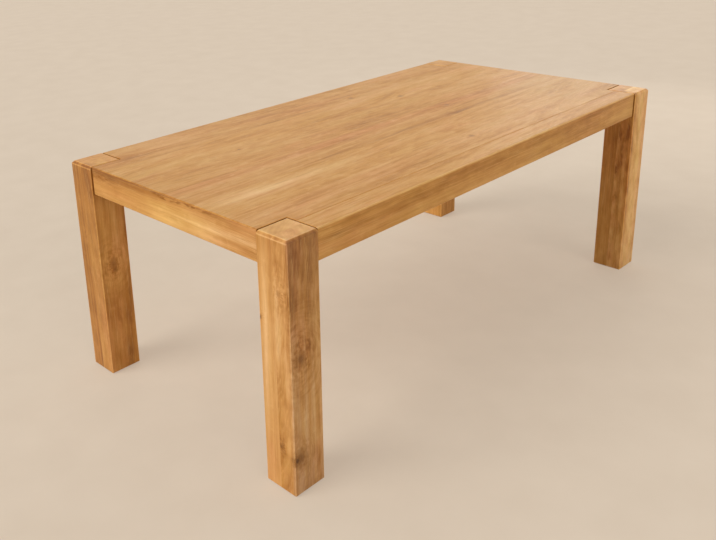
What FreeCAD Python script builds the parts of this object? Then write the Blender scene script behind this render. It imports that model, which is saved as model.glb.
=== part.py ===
import FreeCAD, Part
import math
import os
import re
import Sketcher

# Parsons dining table in solid oak. Four square posts stand in the notched corners of the top, level with
# it and a little proud of its sides. Deep edge boards, mitred to the rim of the top, run between the posts.
# Behind each post a corner block, screwed to two edge boards, takes the hanger bolts that hold the post.
# Millimetres. The origin is on the floor under the middle of the table, X runs along its length, Y from
# its front to its back, and Z is up. Everything but the board widths is alike on both sides of the X and
# Y planes, so a corner is modelled once, at the front left, and mirrored.

# Driving sizes: name, millimetres, what it measures
SIZES = (
    ("table_length", 2000, "over the posts"),
    ("table_width", 1000, "over the posts"),
    ("table_height", 750, "floor to top surface"),
    ("edge_height", 92, "top surface to the lower side of an edge board"),
    ("board_thickness", 28, "stock of the top boards and edge boards"),
    ("board_1_width", 75, "front board of the top"),
    ("board_2_width", 124, "second board"),
    ("board_3_width", 163, "third board"),
    ("board_4_width", 142, "fourth board"),
    ("board_5_width", 164, "fifth board"),
    ("board_6_width", 140, "sixth board"),
    ("board_7_width", 182, "back board, and what the table is wider or narrower is shared by all seven"),
    ("rim_chamfer", 4, "arris between the top and an edge board"),
    ("apron_chamfer", 2, "lower arrises of an edge board"),
    ("gap_chamfer", 1.5, "arrises of the top and edge boards next to a post"),
    ("leg_width", 112, "side of a square post"),
    ("leg_chamfer", 2, "upright arrises of a post"),
    ("cap_chamfer", 8, "outer arrises round the cap of a post"),
    ("inner_cap_chamfer", 3, "arrises of the cap next to the top"),
    ("foot_chamfer", 2, "lower arrises of a post"),
    ("outer_stave", 56, "thickness of the stave that makes the long side of a post"),
    ("reveal", 5, "outer sides of a post, proud of the top and the edge boards"),
    ("shadow_gap", 3, "between a post and the top or an edge board"),
    ("spline_thickness", 4, "loose spline in a mitre"),
    ("spline_width", 18, "across the mitre"),
    ("spline_setback", 9, "level distance from the heel of the mitre to the middle of the spline"),
    ("spline_clearance", 0.1, "all round the spline in its groove"),
    ("leg_flat", 45, "cut back on both sides of a post's inner corner, for the corner block"),
    ("flat_clearance", 1, "above and below the corner block in that flat"),
    ("block_thickness", 32, "corner block, square to its long side"),
    ("block_recess", 4, "lower side of a corner block above that of the edge boards"),
    ("bolt_diameter", 10, "hanger bolt"),
    ("bolt_embedment", 40, "length of a bolt inside the post"),
    ("bolt_point", 6, "length of the bolt's point"),
    ("bolt_overhang", 5, "bolt past its nut"),
    ("bolt_spacing", 32, "between the two bolts of a post"),
    ("bolt_clearance", 0.25, "all round a bolt"),
    ("washer_diameter", 24, "under the nut"),
    ("washer_thickness", 2.5, "under the nut"),
    ("nut_width", 17, "across flats"),
    ("nut_height", 8, "along the bolt"),
    ("screw_diameter", 5, "wood screw"),
    ("screw_embedment", 18, "length of a screw inside the board that it holds"),
    ("screw_grip", 12, "block or batten left under a screw's head"),
    ("screw_head_diameter", 12, "flat head"),
    ("screw_head_height", 3, "flat head"),
    ("screw_clearance", 0.1, "all round a screw's shank"),
    ("head_clearance", 1, "all round a screw's head"),
    ("block_screw_spacing", 32, "between the two screws at an end of a corner block"),
    ("block_hole", 6, "hole round a screw's shank in a corner block"),
    ("batten_width", 70, "along the table"),
    ("batten_thickness", 25, "below the top"),
    ("batten_chamfer", 5, "lower arrises of a batten"),
    ("batten_offset", 400, "middle of the table to the middle of a batten"),
    ("batten_end_gap", 8, "batten to edge board, where the top swells and shrinks"),
    ("batten_hole", 8, "hole round a screw's shank in a batten, wide enough for that movement"),
    ("pad_inset", 10, "sides of a felt pad inside those of its post"),
    ("pad_thickness", 3, "felt pad under a post"),
)
BOARDS = 7

# Lengths that several pieces share, written with the names of the sheet
UNDERSIDE = "(table_height - board_thickness)"
LEFT = "(-table_length / 2)"
FRONT = "(-table_width / 2)"
# The top and its edge boards, whose sides lie behind those of the posts
TOP_LENGTH = "(table_length - 2 * reveal)"
TOP_WIDTH = "(table_width - 2 * reveal)"
TOP_LEFT = f"({LEFT} + reveal)"
TOP_FRONT = f"({FRONT} + reveal)"
NOTCH = "(leg_width - reveal + shadow_gap)"
EDGE_INSIDE = "(reveal + board_thickness)"
# The corner block's two long faces lie where the distances from the table's two sides add up to these
BLOCK_FACE = "(2 * leg_width - leg_flat)"
BLOCK_BACK = f"({BLOCK_FACE} + block_thickness * sqrt(2))"
BLOCK_HEIGHT = "(edge_height - board_thickness - block_recess)"
BLOCK_MIDDLE = f"({UNDERSIDE} - {BLOCK_HEIGHT} / 2)"
# Half the thickness and the depth of a spline groove, each measured level and upright
GROOVE_HALF = "((spline_thickness / 2 + spline_clearance) / sqrt(2))"
GROOVE_DEPTH = "((spline_width / 2 + spline_clearance) / sqrt(2))"

SMALL = 1e-4
FULL_TURN = 360
ALONG_X = FreeCAD.Vector(1, 0, 0)
ALONG_Y = FreeCAD.Vector(0, 1, 0)
ALONG_Z = FreeCAD.Vector(0, 0, 1)
ACROSS_CORNER = FreeCAD.Vector(1, -1, 0)
OUT_OF_CORNER = FreeCAD.Vector(1, 1, 0)

doc = FreeCAD.newDocument("parsons_dining_table")
sheet = doc.addObject("Spreadsheet::Sheet", "Sizes")
for row, (name, value, meaning) in enumerate(SIZES, start=1):
    sheet.set(f"A{row}", name)
    sheet.set(f"B{row}", str(value))
    sheet.set(f"C{row}", meaning)
    sheet.setAlias(f"B{row}", name)
doc.recompute()
SIZE_NAMES = {name for name, value, meaning in SIZES}


def cells(text):
    """Return an expression with each size name in it turned into a reference to the sheet."""
    return re.sub(r"[a-z]\w*", lambda word: f"Sizes.{word[0]}" if word[0] in SIZE_NAMES else word[0], text)


def bind(thing, **expressions):
    """Bind properties of a document object to the sheet."""
    for prop, text in expressions.items():
        thing.setExpression(prop.replace("__", "."), cells(text))


def place(thing, x, y, z, rotation=FreeCAD.Rotation()):
    """Turn a document object, and bind its position to the sheet."""
    thing.Placement = FreeCAD.Placement(FreeCAD.Vector(), rotation)
    bind(thing, Placement__Base__x=x, Placement__Base__y=y, Placement__Base__z=z)
    return thing


def new_body(name):
    """Return a new body."""
    return doc.addObject("PartDesign::Body", name)


def new_sketch(body, name, plane, offset="0"):
    """Return a sketch on one of the body's origin planes, moved along the plane's normal."""
    sketch = body.newObject("Sketcher::SketchObject", f"{body.Name}_{name}")
    support = next(feature for feature in body.Origin.OriginFeatures if feature.Role == plane)
    sketch.AttachmentSupport = [(support, "")]
    sketch.MapMode = "FlatFace"
    bind(sketch, AttachmentOffset__Base__z=offset)
    return sketch


def draw_outline(sketch, corners):
    """Draw a closed outline of straight lines, with each corner's two distances bound to the sheet."""
    count = len(corners)
    first = sketch.GeometryCount
    angles = [2 * math.pi * index / count for index in range(count)]
    points = [FreeCAD.Vector(math.cos(angle), math.sin(angle), 0) for angle in angles]
    for index in range(count):
        sketch.addGeometry(Part.LineSegment(points[index], points[(index + 1) % count]))
    for index in range(count):
        following = first + (index + 1) % count
        sketch.addConstraint(Sketcher.Constraint("Coincident", first + index, 2, following, 1))
    for line, distances in enumerate(corners, start=first):
        for direction, distance in zip("XY", distances):
            row = sketch.addConstraint(Sketcher.Constraint(f"Distance{direction}", -1, 1, line, 1, 1))
            sketch.renameConstraint(row, f"corner_{line}_{direction}")
            sketch.setExpression(f"Constraints.corner_{line}_{direction}", cells(distance))


def pad(body, sketch, length, backwards=False):
    """Pad a sketch."""
    feature = body.newObject("PartDesign::Pad", f"{sketch.Name}_pad")
    feature.Profile = sketch
    feature.Reversed = backwards
    bind(feature, Length=length)
    sketch.Visibility = False


def pocket(body, sketch, length=None, backwards=False):
    """Cut a sketch out of its body, to a length or right through."""
    feature = body.newObject("PartDesign::Pocket", f"{sketch.Name}_pocket")
    feature.Profile = sketch
    feature.Reversed = backwards
    if length is None:
        feature.Type = "ThroughAll"
    else:
        bind(feature, Length=length)
    sketch.Visibility = False


def chamfer(body, name, size, wanted):
    """Chamfer the edges of a body whose two ends pass a test, in the body's own frame."""
    doc.recompute()
    tip = body.Tip
    edges = []
    for number, edge in enumerate(tip.Shape.Edges, start=1):
        if wanted(*[vertex.Point for vertex in edge.Vertexes]):
            edges.append(f"Edge{number}")
    feature = body.newObject("PartDesign::Chamfer", f"{body.Name}_{name}")
    feature.Base = (tip, edges)
    bind(feature, Size=size)


def turned(name, outline):
    """Return a body turned about its own Z axis from an outline of radius and height."""
    body = new_body(name)
    sketch = new_sketch(body, "outline", "XZ_Plane")
    draw_outline(sketch, outline)
    feature = body.newObject("PartDesign::Revolution", f"{name}_turned")
    feature.Profile = sketch
    feature.ReferenceAxis = (sketch, ["V_Axis"])
    feature.Angle = FULL_TURN
    sketch.Visibility = False
    return body


def mirrored(source, normal, name, **base):
    """Return a mirror image of a document object."""
    image = doc.addObject("Part::Mirroring", name)
    image.Source = source
    image.Normal = normal
    bind(image, **base)
    return image


def group(name, things):
    """Return several document objects as one group of separate solids."""
    compound = doc.addObject("Part::Compound", name)
    compound.Links = things
    return compound


def cut(name, base, tool):
    """Return one document object with another taken out of it."""
    result = doc.addObject("Part::Cut", name)
    result.Base = base
    result.Tool = tool
    return result


nodes = {}


def keep(name, thing):
    """Name a finished sub-part, which goes to a file of that name."""
    thing.Label = name
    nodes[name] = thing


def keep_pair(names, thing, normal):
    """Keep a sub-part and its mirror image on the other side of the table."""
    near, far = names
    keep(near, thing)
    keep(far, mirrored(thing, normal, f"{far}_image"))


def keep_corners(pattern, thing):
    """Keep the sub-part of the front left corner and its images in the other three corners."""
    right = mirrored(thing, ALONG_X, pattern.format("right_image"))
    keep(pattern.format("front_left"), thing)
    keep(pattern.format("front_right"), right)
    keep(pattern.format("back_left"), mirrored(thing, ALONG_Y, pattern.format("back_left_image")))
    keep(pattern.format("back_right"), mirrored(right, ALONG_Y, pattern.format("back_right_image")))


def upper_and_lower(name, thing):
    """Return a fastener of a corner block together with its image below the middle of the block."""
    image = mirrored(thing, ALONG_Z, f"{name}_lower", Base__z=BLOCK_MIDDLE)
    return group(f"{name}_upper_and_lower", [thing, image])


def all_corners(name, thing):
    """Return the fasteners of the front left corner together with those of the other three corners."""
    row = group(f"{name}_front", [thing, mirrored(thing, ALONG_X, f"{name}_front_right")])
    return group(f"{name}_all", [row, mirrored(row, ALONG_Y, f"{name}_back")])


def mitre_of_top():
    """Return the mitred side of the top from heel to rim: distance from the table's side, height above
    the underside of the top. The spline groove runs into the board, square to the mitre."""
    lower = f"spline_setback - {GROOVE_HALF}"
    upper = f"spline_setback + {GROOVE_HALF}"
    return [
        ("board_thickness", "0"),
        (f"board_thickness - ({lower})", lower),
        (f"board_thickness - ({lower}) + {GROOVE_DEPTH}", f"{lower} + {GROOVE_DEPTH}"),
        (f"board_thickness - ({upper}) + {GROOVE_DEPTH}", f"{upper} + {GROOVE_DEPTH}"),
        (f"board_thickness - ({upper})", upper),
        ("rim_chamfer / 2", "board_thickness - rim_chamfer / 2"),
        ("rim_chamfer", "board_thickness"),
    ]


def outline_of_apron():
    """Return the section of an edge board: distance from the table's side, height above its own lower
    side. Its mitre faces that of the top and holds the other half of the spline groove."""
    lower = f"spline_setback - {GROOVE_HALF}"
    upper = f"spline_setback + {GROOVE_HALF}"
    heel = "edge_height - board_thickness"
    return [
        ("apron_chamfer", "0"),
        ("board_thickness - apron_chamfer", "0"),
        ("board_thickness", "apron_chamfer"),
        ("board_thickness", heel),
        (f"board_thickness - ({lower})", f"{heel} + {lower}"),
        (f"board_thickness - ({lower}) - {GROOVE_DEPTH}", f"{heel} + {lower} - {GROOVE_DEPTH}"),
        (f"board_thickness - ({upper}) - {GROOVE_DEPTH}", f"{heel} + {upper} - {GROOVE_DEPTH}"),
        (f"board_thickness - ({upper})", f"{heel} + {upper}"),
        ("rim_chamfer / 2", "edge_height - rim_chamfer / 2"),
        ("0", "edge_height - rim_chamfer"),
        ("0", "apron_chamfer"),
    ]


# Wood screws are many and small, so they and their bores have a few flat sides.
SCREW_SIDES = 8
SCREW_SEAT = "(screw_embedment + screw_grip)"


def stepped(name, steps):
    """Return flat-sided steps stacked along Z, each given by its radius and the height of its upper end."""
    stack = []
    lower_end = "0"
    for number, (radius, upper_end) in enumerate(steps, start=1):
        step = doc.addObject("Part::Prism", f"{name}_step_{number}")
        step.Polygon = SCREW_SIDES
        bind(step, Circumradius=radius, Height=f"{upper_end} - {lower_end}")
        stack.append(place(step, "0", "0", lower_end))
        lower_end = upper_end
    whole = doc.addObject("Part::MultiFuse", name)
    whole.Shapes = stack
    return whole


def wood_screw(name):
    """Return a wood screw with its point at the origin and its head upwards."""
    return stepped(name, [
        ("screw_diameter / 2", SCREW_SEAT),
        ("screw_head_diameter / 2", f"({SCREW_SEAT} + screw_head_height)"),
    ])


def screw_bore(name, hole, depth):
    """Return a bore for a screw: pilot in the board that it holds, hole under its head, room for its head."""
    return stepped(name, [
        ("screw_diameter / 2 + screw_clearance", "screw_embedment"),
        (f"{hole} / 2", SCREW_SEAT),
        ("screw_head_diameter / 2 + head_clearance", f"({SCREW_SEAT} + {depth})"),
    ])


# Top: seven boards, edge glued. Each is a profile along the table, mitred at both ends, and the outer
# boards are also mitred along their long side and notched for the posts.
ALL_WIDTHS = " + ".join(f"board_{number}_width" for number in range(1, BOARDS + 1))
SPARE_WIDTH = f"(({TOP_WIDTH} - ({ALL_WIDTHS})) / {BOARDS})"


def board_width(number):
    """Return the width of a board, with its share of the width that the boards are short of the table's."""
    return f"(board_{number}_width + {SPARE_WIDTH})"


def board_edge(number):
    """Return the distance from the front of the top to the near edge of a board."""
    return " + ".join(["0"] + [board_width(count) for count in range(1, number)])


def square(left, front):
    """Return the outline of one notch from its left front corner."""
    right = f"{left} + {NOTCH}"
    back = f"{front} + {NOTCH}"
    return [(left, front), (right, front), (right, back), (left, back)]


def notch_fronts(number):
    """Return where the notches that reach a board start: at the front of the top, at its back, or both."""
    widths = [sheet.get(f"board_{count}_width") for count in range(1, BOARDS + 1)]
    top_width = sheet.table_width - 2 * sheet.reveal
    spare = (top_width - sum(widths)) / BOARDS
    near = sum(widths[:number - 1]) + spare * (number - 1)
    far = near + widths[number - 1] + spare
    notch = sheet.leg_width - sheet.reveal + sheet.shadow_gap
    fronts = []
    if near < notch:
        fronts.append("0")
    if far > top_width - notch:
        fronts.append(f"{TOP_WIDTH} - {NOTCH}")
    return fronts


def beside_a_notch(start, end):
    """Tell whether an edge of a board is part of the upper rim of a notch."""
    notch = sheet.leg_width - sheet.reveal + sheet.shadow_gap
    top_length = sheet.table_length - 2 * sheet.reveal
    top_width = sheet.table_width - 2 * sheet.reveal
    for point in (start, end):
        from_end = min(point.x, top_length - point.x)
        from_side = min(point.y, top_width - point.y)
        if abs(point.z - sheet.board_thickness) > SMALL or abs(max(from_end, from_side) - notch) > SMALL:
            return False
    return True


def board_blank(number):
    """Return a top board before its screw holes are drilled, in the frame of the whole top."""
    body = new_body(f"board_{number}")
    profile = new_sketch(body, "profile", "XZ_Plane", f"-({board_edge(number)})")
    left_end = mitre_of_top()
    right_end = [(f"{TOP_LENGTH} - ({along})", up) for along, up in reversed(left_end)]
    draw_outline(profile, left_end + right_end)
    pad(body, profile, board_width(number), backwards=True)
    if number in (1, BOARDS):
        waste = [("0", "0")] + mitre_of_top() + [("0", "board_thickness")]
        if number == BOARDS:
            waste = [(f"{TOP_WIDTH} - ({across})", up) for across, up in waste]
        side = new_sketch(body, "side", "YZ_Plane")
        draw_outline(side, waste)
        pocket(body, side, backwards=True)
    fronts = notch_fronts(number)
    if fronts:
        notches = new_sketch(body, "notches", "XY_Plane")
        for front in fronts:
            draw_outline(notches, square("0", front))
            draw_outline(notches, square(f"{TOP_LENGTH} - {NOTCH}", front))
        pocket(body, notches, backwards=True)
        chamfer(body, "eased_notches", "gap_chamfer", beside_a_notch)
    return place(body, TOP_LEFT, TOP_FRONT, UNDERSIDE)


# Battens: two rails across the underside of the top, with one screw into every board but the narrow one
# at the front, which lies over the battens' ends and hangs on its edge board.
SCREWED_BOARDS = range(2, BOARDS + 1)
POINT_UP = FreeCAD.Rotation(ALONG_X, 180)


def batten_blank():
    """Return the left batten before its holes are bored."""
    body = new_body("batten")
    profile = new_sketch(body, "profile", "XZ_Plane")
    draw_outline(profile, [
        ("batten_chamfer", "0"),
        ("batten_width - batten_chamfer", "0"),
        ("batten_width", "batten_chamfer"),
        ("batten_width", "batten_thickness"),
        ("0", "batten_thickness"),
        ("0", "batten_chamfer"),
    ])
    pad(body, profile, f"table_width - 2 * ({EDGE_INSIDE} + batten_end_gap)", backwards=True)
    return place(body, "-batten_offset - batten_width / 2", f"{FRONT} + {EDGE_INSIDE} + batten_end_gap",
                 f"{UNDERSIDE} - batten_thickness")


def at_board(fastener, number):
    """Place a batten's screw or its bore, point up, in the middle of a board."""
    middle = f"{TOP_FRONT} + {board_edge(number)} + {board_width(number)} / 2"
    return place(fastener, "-batten_offset", middle, f"{UNDERSIDE} + screw_embedment", POINT_UP)


batten_screws = []
batten_bores = []
for number in range(1, BOARDS + 1):
    board = board_blank(number)
    if number in SCREWED_BOARDS:
        batten_screws.append(at_board(wood_screw(f"batten_screw_{number}"), number))
        bore = at_board(screw_bore(f"batten_bore_{number}", "batten_hole", "batten_thickness"), number)
        batten_bores.append(bore)
        bore_image = mirrored(bore, ALONG_X, f"batten_bore_{number}_image")
        board = cut(f"board_{number}_drilled", board, group(f"bores_in_board_{number}", [bore, bore_image]))
    keep(f"top_board_{number}", board)
batten = cut("batten_bored", batten_blank(), group("bores_in_batten", batten_bores))
keep_pair(("batten_left", "batten_right"), batten, ALONG_X)
left_screws = group("batten_screws_left", batten_screws)
keep("batten_screws", group("batten_screws_all",
                            [left_screws, mirrored(left_screws, ALONG_X, "batten_screws_right")]))

# Corner fasteners: screws through both ends of a corner block into the edge boards, and hanger bolts.
INTO_FRONT = FreeCAD.Rotation(ALONG_Z, ALONG_Y)
SCREW_ALONG = f"(({BLOCK_FACE} + {BLOCK_BACK}) / 2 - {EDGE_INSIDE})"


def at_block_end(fastener, name):
    """Place a corner block's screw or its bore, and return it with its images at the block's other places."""
    place(fastener, f"{LEFT} + {SCREW_ALONG}", f"{FRONT} + {EDGE_INSIDE} - screw_embedment",
          f"{BLOCK_MIDDLE} + block_screw_spacing / 2", INTO_FRONT)
    end = upper_and_lower(name, fastener)
    other_end = mirrored(end, ACROSS_CORNER, f"{name}_other_end", Base__x=LEFT, Base__y=FRONT)
    return group(f"{name}_of_corner", [end, other_end])


def at_bolt(fastener, name, start):
    """Place what lies on a hanger bolt's line, from a distance past the post's flat, with its lower image."""
    along = f"({BLOCK_FACE} / 2 + ({start}) / sqrt(2))"
    place(fastener, f"{LEFT} + {along}", f"{FRONT} + {along}", f"{BLOCK_MIDDLE} + bolt_spacing / 2",
          FreeCAD.Rotation(ALONG_Z, OUT_OF_CORNER))
    return upper_and_lower(name, fastener)


def ring_outline(inner, outer, height):
    """Return the section of a plain ring."""
    return [(inner, "0"), (outer, "0"), (outer, height), (inner, height)]


def hanger_bolt():
    """Return a hanger bolt, pointed at the post's end."""
    length = "bolt_embedment + block_thickness + washer_thickness + nut_height + bolt_overhang"
    return turned("hanger_bolt", [
        ("0", "0"),
        ("bolt_diameter / 2", "bolt_point"),
        ("bolt_diameter / 2", length),
        ("0", length),
    ])


def nut():
    """Return a hexagon nut, bored for its bolt."""
    hexagon = doc.addObject("Part::Prism", "nut_blank")
    hexagon.Polygon = 6
    bind(hexagon, Circumradius="nut_width / sqrt(3)", Height="nut_height")
    bore = doc.addObject("Part::Cylinder", "nut_bore")
    bind(bore, Radius="bolt_diameter / 2 + bolt_clearance", Height="nut_height")
    return cut("nut", hexagon, bore)


BOLT_RADIUS = "bolt_diameter / 2 + bolt_clearance"
block_screws = at_block_end(wood_screw("block_screw"), "block_screw")
block_bores = at_block_end(screw_bore("block_bore", "block_hole", "block_thickness"), "block_bore")
bolts = at_bolt(hanger_bolt(), "hanger_bolt", "-bolt_embedment")
bolt_bore = turned("bolt_bore", [
    ("0", "0"),
    (BOLT_RADIUS, "0"),
    (BOLT_RADIUS, "bolt_embedment + block_thickness"),
    ("0", "bolt_embedment + block_thickness"),
])
bolt_bores = at_bolt(bolt_bore, "bolt_bore", "-bolt_embedment")
washer = turned("washer", ring_outline(BOLT_RADIUS, "washer_diameter / 2", "washer_thickness"))
washers = at_bolt(washer, "washer", "block_thickness")
nuts = at_bolt(nut(), "nut", "block_thickness + washer_thickness")
keep("block_screws", all_corners("block_screws", block_screws))
keep("hanger_bolts", all_corners("hanger_bolts", bolts))
keep("bolt_washers", all_corners("bolt_washers", washers))
keep("bolt_nuts", all_corners("bolt_nuts", nuts))

# Edge boards: one section run between two posts, with its ends eased and pilot holes for the block screws.
BLOCK_BORES = all_corners("block_bores", block_bores)


def apron_blank(name, length):
    """Return an edge board with its length along X and its outer side at Y zero."""
    body = new_body(name)
    section = new_sketch(body, "section", "YZ_Plane")
    draw_outline(section, outline_of_apron())
    pad(body, section, length)
    doc.recompute()
    far_end = body.Shape.BoundBox.XMax

    def upright_arris(start, end):
        """Tell whether an edge lies on the outer side of the board, at one of its ends."""
        at_an_end = min(abs(start.x), abs(start.x - far_end)) < SMALL
        return at_an_end and abs(start.x - end.x) < SMALL and max(abs(start.y), abs(end.y)) < SMALL

    chamfer(body, "eased_ends", "gap_chamfer", upright_arris)
    return body


ALONG_THE_SHORT_SIDE = FreeCAD.Rotation(ALONG_Z, -90)
LONG_SPAN = f"({TOP_LENGTH} - 2 * {NOTCH})"
SHORT_SPAN = f"({TOP_WIDTH} - 2 * {NOTCH})"
APRON_FOOT = "table_height - edge_height"
front_apron = place(apron_blank("front_apron", LONG_SPAN), f"{TOP_LEFT} + {NOTCH}", TOP_FRONT, APRON_FOOT)
left_apron = place(apron_blank("left_apron", SHORT_SPAN), TOP_LEFT, f"-{TOP_FRONT} - {NOTCH}", APRON_FOOT,
                   ALONG_THE_SHORT_SIDE)
keep_pair(("apron_front", "apron_back"), cut("front_apron_drilled", front_apron, BLOCK_BORES), ALONG_Y)
keep_pair(("apron_left", "apron_right"), cut("left_apron_drilled", left_apron, BLOCK_BORES), ALONG_X)

# Splines: thin strips across each mitre, half in the top and half in the edge board.
HALF_RIGHT_ANGLE = FreeCAD.Rotation(ALONG_X, 45)
SPLINE_IN = "(board_thickness - spline_setback - (spline_width - spline_thickness) / (2 * sqrt(2)))"
SPLINE_UP = f"({UNDERSIDE} + spline_setback - (spline_width + spline_thickness) / (2 * sqrt(2)))"


def spline(name, length):
    """Return a spline strip with its length along X."""
    strip = doc.addObject("Part::Box", name)
    bind(strip, Length=length, Width="spline_width", Height="spline_thickness")
    return strip


front_spline = place(spline("front_spline", LONG_SPAN), f"{TOP_LEFT} + {NOTCH}", f"{TOP_FRONT} + {SPLINE_IN}",
                     SPLINE_UP, HALF_RIGHT_ANGLE)
left_spline = place(spline("left_spline", SHORT_SPAN), f"{TOP_LEFT} + {SPLINE_IN}", f"-{TOP_FRONT} - {NOTCH}",
                    SPLINE_UP, ALONG_THE_SHORT_SIDE.multiply(HALF_RIGHT_ANGLE))
keep_pair(("spline_front", "spline_back"), front_spline, ALONG_Y)
keep_pair(("spline_left", "spline_right"), left_spline, ALONG_X)


# Corner blocks: a trapezium in plan, between two edge boards, with its face against the post's flat.
def corner_block():
    """Return the corner block of the front left corner, bored for its bolts and screws."""
    body = new_body("block")
    plan = new_sketch(body, "plan", "XY_Plane")
    draw_outline(plan, [
        (EDGE_INSIDE, f"{BLOCK_FACE} - {EDGE_INSIDE}"),
        (f"{BLOCK_FACE} - {EDGE_INSIDE}", EDGE_INSIDE),
        (f"{BLOCK_BACK} - {EDGE_INSIDE}", EDGE_INSIDE),
        (EDGE_INSIDE, f"{BLOCK_BACK} - {EDGE_INSIDE}"),
    ])
    pad(body, plan, BLOCK_HEIGHT)
    place(body, LEFT, FRONT, f"{UNDERSIDE} - {BLOCK_HEIGHT}")
    return cut("block_bored", body, group("bores_in_block", [bolt_bores, block_bores]))


keep_corners("corner_block_{}", corner_block())


# Posts: two thick staves glued side by side, eased all round, with a flat behind the edge boards for the
# corner block. The flat stops under the top, so that the cap stays square.
def leg():
    """Return the post of the front left corner in one piece, bored for its bolts."""
    body = new_body("leg")
    plan = new_sketch(body, "plan", "XY_Plane")
    draw_outline(plan, [("0", "0"), ("leg_width", "0"), ("leg_width", "leg_width"), ("0", "leg_width")])
    height = "table_height - pad_thickness"
    pad(body, plan, height)
    doc.recompute()
    post = body.Shape.BoundBox

    def on_cap(start, end):
        return min(start.z, end.z) > post.ZMax - SMALL

    def next_to_top(start, end):
        return min(start.x, end.x) > post.XMax - SMALL or min(start.y, end.y) > post.YMax - SMALL

    chamfer(body, "eased_cap", "cap_chamfer", lambda *ends: on_cap(*ends) and not next_to_top(*ends))
    chamfer(body, "eased_inner_cap", "inner_cap_chamfer", lambda *ends: on_cap(*ends) and next_to_top(*ends))
    arrises = new_sketch(body, "arrises", "XY_Plane")
    sides = (("0", "leg_chamfer"), ("leg_width", "leg_width - leg_chamfer"))
    for x, inside_x in sides:
        for y, inside_y in sides:
            draw_outline(arrises, [(x, y), (inside_x, y), (x, inside_y)])
    pocket(body, arrises, backwards=True)
    chamfer(body, "eased_foot", "foot_chamfer", lambda start, end: max(start.z, end.z) < SMALL)
    flat_top = f"{UNDERSIDE} + flat_clearance - pad_thickness"
    flat = new_sketch(body, "flat", "XY_Plane", flat_top)
    draw_outline(flat, [
        ("leg_width", "leg_width - leg_flat"),
        ("leg_width", "leg_width"),
        ("leg_width - leg_flat", "leg_width"),
    ])
    pocket(body, flat, f"{BLOCK_HEIGHT} + 2 * flat_clearance")
    place(body, LEFT, FRONT, "pad_thickness")
    return cut("leg_bored", body, bolt_bores)


whole_leg = leg()
glue_line = doc.addObject("Part::Box", "outer_half")
bind(glue_line, Length="3 * leg_width", Width="leg_width + outer_stave", Height="2 * table_height")
place(glue_line, f"{LEFT} - leg_width", f"{FRONT} - leg_width", "0")
outer_stave = doc.addObject("Part::Common", "outer_stave")
outer_stave.Base = whole_leg
outer_stave.Tool = glue_line
keep_corners("leg_{}_outer_stave", outer_stave)
keep_corners("leg_{}_inner_stave", cut("inner_stave", whole_leg, glue_line))

# Felt pads: one square pad stuck under each post.
PAD_WIDTH = "leg_width - 2 * pad_inset"
felt_pad = doc.addObject("Part::Box", "felt_pad")
bind(felt_pad, Length=PAD_WIDTH, Width=PAD_WIDTH, Height="pad_thickness")
place(felt_pad, f"{LEFT} + pad_inset", f"{FRONT} + pad_inset", "0")
keep_corners("felt_pad_{}", felt_pad)

# Build, check and write every sub-part
doc.recompute()
for thing in doc.Objects:
    if "Invalid" in thing.State or "Error" in thing.State:
        raise RuntimeError(f"{thing.Label} did not build")
os.makedirs("parts", exist_ok=True)
for name, thing in nodes.items():
    shape = thing.Shape
    if shape.isNull() or not shape.isValid() or not shape.Solids:
        raise RuntimeError(f"{name} is not a sound solid")
    shape.exportStep(f"parts/{name}.step")
print(len(nodes), "sub-parts written")
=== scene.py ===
import math

import bpy
import numpy as np
from mathutils import Matrix, Vector


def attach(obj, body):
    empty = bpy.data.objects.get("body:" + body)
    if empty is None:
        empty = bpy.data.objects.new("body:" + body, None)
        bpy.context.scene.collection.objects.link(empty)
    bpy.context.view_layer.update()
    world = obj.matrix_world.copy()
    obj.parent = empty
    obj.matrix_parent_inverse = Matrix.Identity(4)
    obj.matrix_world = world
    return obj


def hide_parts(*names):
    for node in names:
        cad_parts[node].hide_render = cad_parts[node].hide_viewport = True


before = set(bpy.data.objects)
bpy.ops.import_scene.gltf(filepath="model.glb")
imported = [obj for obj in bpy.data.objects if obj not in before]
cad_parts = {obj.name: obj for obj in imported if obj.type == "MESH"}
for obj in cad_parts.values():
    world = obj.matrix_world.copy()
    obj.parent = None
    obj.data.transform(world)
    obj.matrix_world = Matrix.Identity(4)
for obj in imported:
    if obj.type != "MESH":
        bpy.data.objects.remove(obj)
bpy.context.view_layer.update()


# Top boards
# Seven solid oak boards, planed, glued edge to edge along the table, sanded flush and oiled to a honey brown.
# Their rim is mitred down into the edge boards, and the front and back boards are notched round the posts.


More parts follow.
